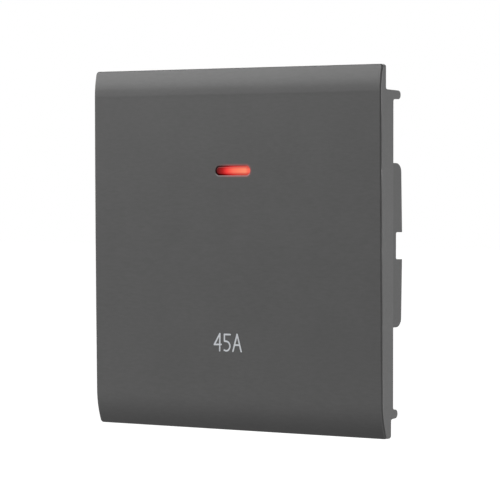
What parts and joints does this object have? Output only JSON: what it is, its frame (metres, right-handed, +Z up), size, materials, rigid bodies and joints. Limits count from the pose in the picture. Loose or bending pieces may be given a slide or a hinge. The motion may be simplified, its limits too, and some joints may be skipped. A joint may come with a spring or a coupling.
{
  "type": "air conditioner switch",
  "caption": "Square wall rocker switch with a full-face dark grey key, a lit red window and a double-pole mechanism behind it.",
  "frame": {"origin": "centre of the fixing slots in the mounting frame's back face, which is the wall face", "axes": "+Y into the wall, +Z up, +X to the right seen from the room; the key faces -Y"},
  "size_m": [0.086, 0.037, 0.086],
  "materials": {
    "key_plastic": "fine satin texture, dark grey",
    "mark_ink": "pale grey pad print",
    "red_lens": "translucent red, lit from behind",
    "carrier_plastic": "black moulded nylon",
    "frame_plastic": "black moulded plastic",
    "cover_plastic": "pale insulating moulding",
    "housing_plastic": "pale heat-resisting moulding",
    "zinc_screw": "zinc-plated steel",
    "lamp_clear": "red epoxy lamp body",
    "board": "green circuit board",
    "resistor_body": "lacquered resistor",
    "nylon": "natural nylon",
    "spring_steel": "bright spring wire",
    "copper_strip": "pressed copper strip",
    "silver_tip": "silver alloy contact",
    "brass_strip": "pressed brass strip",
    "lead_sleeve": "sleeved wire",
    "terminal_brass": "machined brass"
  },
  "bodies": {
    "base": {"mounting_frame": "frame_plastic", "inner_cover": "cover_plastic", "base_housing": "housing_plastic", "case_screws": "zinc_screw", "terminal_screws": "zinc_screw", "lamp": "lamp_clear", "lamp_board": "board", "resistor": "resistor_body", "fixed_contact_left": "brass_strip", "fixed_tip_left": "silver_tip", "pivot_terminal_left": "brass_strip", "lamp_lead_left": "lead_sleeve", "terminal_block_top_left": "terminal_brass", "terminal_block_bottom_left": "terminal_brass", "fixed_contact_right": "brass_strip", "fixed_tip_right": "silver_tip", "pivot_terminal_right": "brass_strip", "lamp_lead_right": "lead_sleeve", "terminal_block_top_right": "terminal_brass", "terminal_block_bottom_right": "terminal_brass"},
    "rocker": {"key_cover": "key_plastic", "indicator_lens": "red_lens", "rocker_carrier": "carrier_plastic", "plunger_spring_left": "spring_steel", "plunger_spring_right": "spring_steel"},
    "plunger_left": {"plunger_left": "nylon"},
    "plunger_right": {"plunger_right": "nylon"},
    "contact_arm_left": {"moving_contact_left": "copper_strip", "moving_tip_left": "silver_tip"},
    "contact_arm_right": {"moving_contact_right": "copper_strip", "moving_tip_right": "silver_tip"}
  },
  "joints": [
    {"name": "key_rock", "type": "hinge", "parent": "base", "child": "rocker", "pos_m": [0, -0.003, 0], "axis": [1, 0, 0], "range_deg": [-5, 0]},
    {"name": "contact_swing_left", "type": "hinge", "parent": "base", "child": "contact_arm_left", "pos_m": [-0.01, 0.0165, 0], "axis": [1, 0, 0], "range_deg": [0, 13]},
    {"name": "plunger_slide_left", "type": "slide", "parent": "rocker", "child": "plunger_left", "axis": [0, 0.999, 0.0436], "range_m": [-0.0008, 0], "stiffness_N_per_m": 1500, "springref_m": 0.002, "deforming": ["plunger_spring_left"]},
    {"name": "contact_swing_right", "type": "hinge", "parent": "base", "child": "contact_arm_right", "pos_m": [0.01, 0.0165, 0], "axis": [1, 0, 0], "range_deg": [0, 13]},
    {"name": "plunger_slide_right", "type": "slide", "parent": "rocker", "child": "plunger_right", "axis": [0, 0.999, 0.0436], "range_m": [-0.0008, 0], "stiffness_N_per_m": 1500, "springref_m": 0.002, "deforming": ["plunger_spring_right"]}
  ],
  "couplings": [
    {"joint": "contact_swing_left", "follows": "key_rock", "ratio": -2.4},
    {"joint": "contact_swing_right", "follows": "key_rock", "ratio": -2.4}
  ]
}
